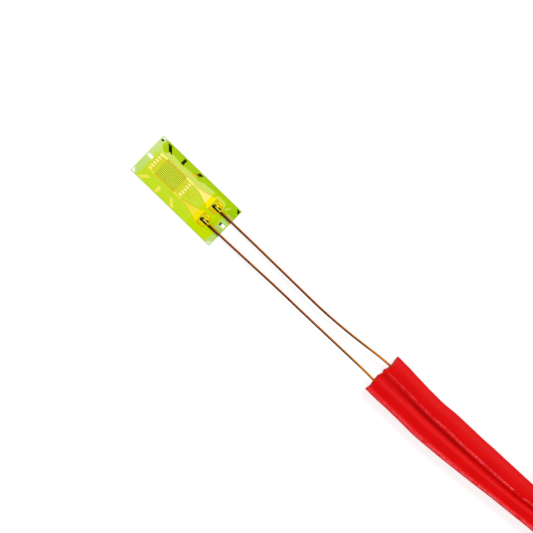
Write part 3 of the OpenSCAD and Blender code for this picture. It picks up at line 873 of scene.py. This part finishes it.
for label in ("left", "right"):
    low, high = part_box(label + "_solder_joint")
    middle = (low + high) / 2
    half_size = (high - low) / 2
    made = bmesh.new()
    bmesh.ops.create_uvsphere(made, u_segments=64, v_segments=40, radius=1)
    whole = made.verts[:] + made.edges[:] + made.faces[:]
    bmesh.ops.bisect_plane(made, geom=whole, dist=0.001, plane_no=(0, 0, -1), clear_outer=True)
    for vert in made.verts:
        spot = vert.co.copy()
        corner = (abs(spot.x) ** 4 + abs(spot.y) ** 4) ** 0.25 or 1
        stretch = spot.xy.length / corner
        x = middle.x + half_size.x * spot.x * stretch
        y = middle.y + half_size.y * spot.y * stretch
        past = x - tip_x
        off = y - middle.y
        height = max(0, spot.z)
        pillow = pillow_height * height ** 0.5
        before_ridge = max(0, ridge_start - past) / ridge_fade
        ridge = ridge_height * math.exp(-((off / ridge_spread) ** 2) - before_ridge ** 2)
        from_hollow = (past + hollow_back) / hollow_length
        dip = hollow_depth * math.exp(-(from_hollow ** 2) - (off / hollow_spread) ** 2)
        vert.co = (x, y, low.z + (pillow + ridge - dip) * min(1, height * rim_steepness))
    bmesh.ops.contextual_create(made, geom=[edge for edge in made.edges if edge.is_boundary])
    for face in made.faces:
        face.smooth = len(face.verts) < 5
    joint = finished(label + "_solder_pillow", made)
    joint.data.materials.append(solder)
    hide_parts(label + "_solder_joint")

# Lead wires and their enamel
# Fine copper wires, soldered at their bare tips and coated with orange enamel as far as the splices.
# They rise from the tabs to the middle of the cable, bowed a little from handling.
core_wire_radius = 0.05 * MM
enamel_radius = 0.0675 * MM
enamel_bore = 1.01 * core_wire_radius
lead_sides = 16
lead_step = 0.2 * MM
tab_steps = 6
straight_entry = 0.5 * MM
lead_z = 0.107 * MM
bare_x = 3.37 * MM
splice_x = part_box("left_splice")[0].x
wire_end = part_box("left_lead_wire")[1].x
left_bow = [
    (0.06, -0.024), (0.22, -0.078), (0.38, -0.148), (0.54, -0.217), (0.62, -0.238), (0.7, -0.222),
    (0.78, -0.178), (0.86, -0.104), (0.94, -0.027),
]
right_bow = [
    (0.1, 0.004), (0.25, 0.02), (0.4, 0.042), (0.55, 0.034), (0.7, 0.033), (0.85, 0.04), (0.94, 0.032),
]
copper, tree, surface = new_finish("bare_wire")
length_on, round_on = place_on_tube(tree)
grain = grained(tree, place_on_part(tree), 14.0)[0]
metal = lay_on(tree, rise(tree, grain, 0.3, 0.7), colour(188, 172, 8), colour(204, 188, 30))
# Painted shade along both sides of the round wire
side_shade = either(tree, band(tree, round_on, 0.04, 0.12, 0.05), band(tree, round_on, 0.36, 0.46, 0.05))
metal = lay_on(tree, side_shade, metal, colour(16, 8, 0))
metal = lay_on(tree, rise(tree, length_on, 0.17, 0.08), metal, colour(64, 10, 4))
tree.links.new(metal, surface.inputs["Base Color"])
tree.links.new(rise(tree, grain, -0.6, 2.2), surface.inputs["Roughness"])
surface.inputs["Metallic"].default_value = 0.6

enamel, tree, surface = new_finish("orange_enamel")
length_on, round_on = place_on_tube(tree)
drawn_out = {"Vector": place_on_part(tree), "Scale": (0.35, 1, 1)}
streaks = add(tree, "ShaderNodeMapping", drawn_out).outputs[0]
grain, clouds = grained(tree, streaks, 6.0)
amber = lay_on(tree, rise(tree, clouds, 0.35, 0.65), colour(180, 80, 0), colour(194, 96, 2))
amber = lay_on(tree, rise(tree, grain, 0.55, 0.75), amber, colour(146, 56, 0))
amber = lay_on(tree, rise(tree, length_on, 8.5, 11.5), amber, colour(206, 124, 6))
# Painted shade on the round wire: brown underneath, and near black in a band between the top and the right
# side, wider along the free stretch
amber = lay_on(tree, band(tree, round_on, 0.46, 0.62, 0.12), amber, colour(104, 42, 0))
free_enamel_shade = both(tree, band(tree, round_on, 0.285, 0.43, 0.05), rise(tree, length_on, 11.8, 10.6))
enamel_shade = either(tree, band(tree, round_on, 0.38, 0.43, 0.05), free_enamel_shade)
amber = lay_on(tree, enamel_shade, amber, colour(10, 3, 0))
tree.links.new(amber, surface.inputs["Base Color"])
tree.links.new(rise(tree, grain, -0.5, 2.4), surface.inputs["Roughness"])
surface.inputs["Specular IOR Level"].default_value = 0.04


def round_rings(radius, line):
    """Circles along a line, for a lead wire or its enamel."""
    return [placed(circle(radius, lead_sides), line, i) for i in range(len(line))]


for side, label, bow in ((1, "left", left_bow), (-1, "right", right_bow)):
    start = Vector((bare_x, side * lead_offset * MM, lead_z))
    end = Vector((cable_front, cable_middle_y + side * core_spacing, cable_thick / 2))
    bowed = [start.lerp(end, share) + Vector((0, push * MM, 0)) for share, push in bow]
    free_line = smooth_line([start] + bowed + [end], lead_step)
    in_cable = [end + Vector((x, 0, 0)) for x in (straight_entry, splice_x - cable_front)]
    tip_end = Vector((tip_x, start.y, lead_z))
    on_tab = [tip_end.lerp(start, k / tab_steps) for k in range(tab_steps)]

    core_line = on_tab + free_line + in_cable + [Vector((wire_end, end.y, end.z))]
    made = bmesh.new()
    for close_end in drawn(made, round_rings(core_wire_radius, core_line)):
        made.faces.new(close_end)
    wire = finished(label + "_wire", made)
    wire.data.materials.append(copper)
    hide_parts(label + "_lead_wire")

    coat_line = free_line + in_cable
    outer = round_rings(enamel_radius, coat_line)
    inner = round_rings(enamel_bore, coat_line)
    made = bmesh.new()
    drawn(made, inner[:1] + outer + inner[::-1])
    bmesh.ops.remove_doubles(made, verts=made.verts, dist=0.0001 * MM)
    coat = finished(label + "_enamel", made)
    coat.data.materials.append(enamel)
    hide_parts(label + "_lead_enamel")

# Floor, light and background
# A plain white table under broad soft studio light. The table shows white to the camera and in
# reflections, and still takes the object's shadow.
floor_half = 0.6
table_colour = (0.4, 0.4, 0.4, 1)
table_glow = 0.7
room_light = 0.53
light_aim = Vector((0.015, 0.005, 0))


def seen_rays(tree):
    """Where a ray comes from the camera, straight or by way of gloss or a clear piece."""
    rays = add(tree, "ShaderNodeLightPath", {}).outputs
    return either(tree, rays["Is Camera Ray"], rays["Is Glossy Ray"], rays["Is Transmission Ray"])


made = bmesh.new()
bmesh.ops.create_grid(made, x_segments=1, y_segments=1, size=floor_half)
floor_mesh = bpy.data.meshes.new("floor")
made.to_mesh(floor_mesh)
made.free()
floor = bpy.data.objects.new("floor", floor_mesh)
bpy.context.scene.collection.objects.link(floor)
table, tree, surface = new_finish("white_table")
surface.inputs["Base Color"].default_value = table_colour
surface.inputs["Roughness"].default_value = 0.9
surface.inputs["Emission Color"].default_value = (1, 1, 1, 1)
glow = reckon(tree, "MULTIPLY", seen_rays(tree), table_glow)
tree.links.new(glow, surface.inputs["Emission Strength"])
floor.data.materials.append(table)

world = bpy.data.worlds.new("studio")
world.use_nodes = True
bpy.context.scene.world = world
tree = world.node_tree
backdrop = tree.nodes["Background"]
backdrop.inputs["Color"].default_value = (1, 1, 1, 1)
level = add(tree, "ShaderNodeMapRange", {"Value": seen_rays(tree), "To Min": room_light, "To Max": 1.0})
tree.links.new(level.outputs[0], backdrop.inputs["Strength"])


def soft_box(name, place, size, power):
    """A square studio light that faces the middle of the object."""
    data = bpy.data.lights.new(name, "AREA")
    data.size = size
    data.energy = power
    light = bpy.data.objects.new(name, data)
    light.location = place
    light.rotation_euler = (light_aim - light.location).to_track_quat("-Z", "Y").to_euler()
    bpy.context.scene.collection.objects.link(light)


soft_box("key", (0.03, 0.25, 0.3), 0.15, 0.85)
soft_box("low_side", (0.0, -0.3, 0.14), 0.1, 0.25)
bpy.context.scene.view_settings.view_transform = "Standard"
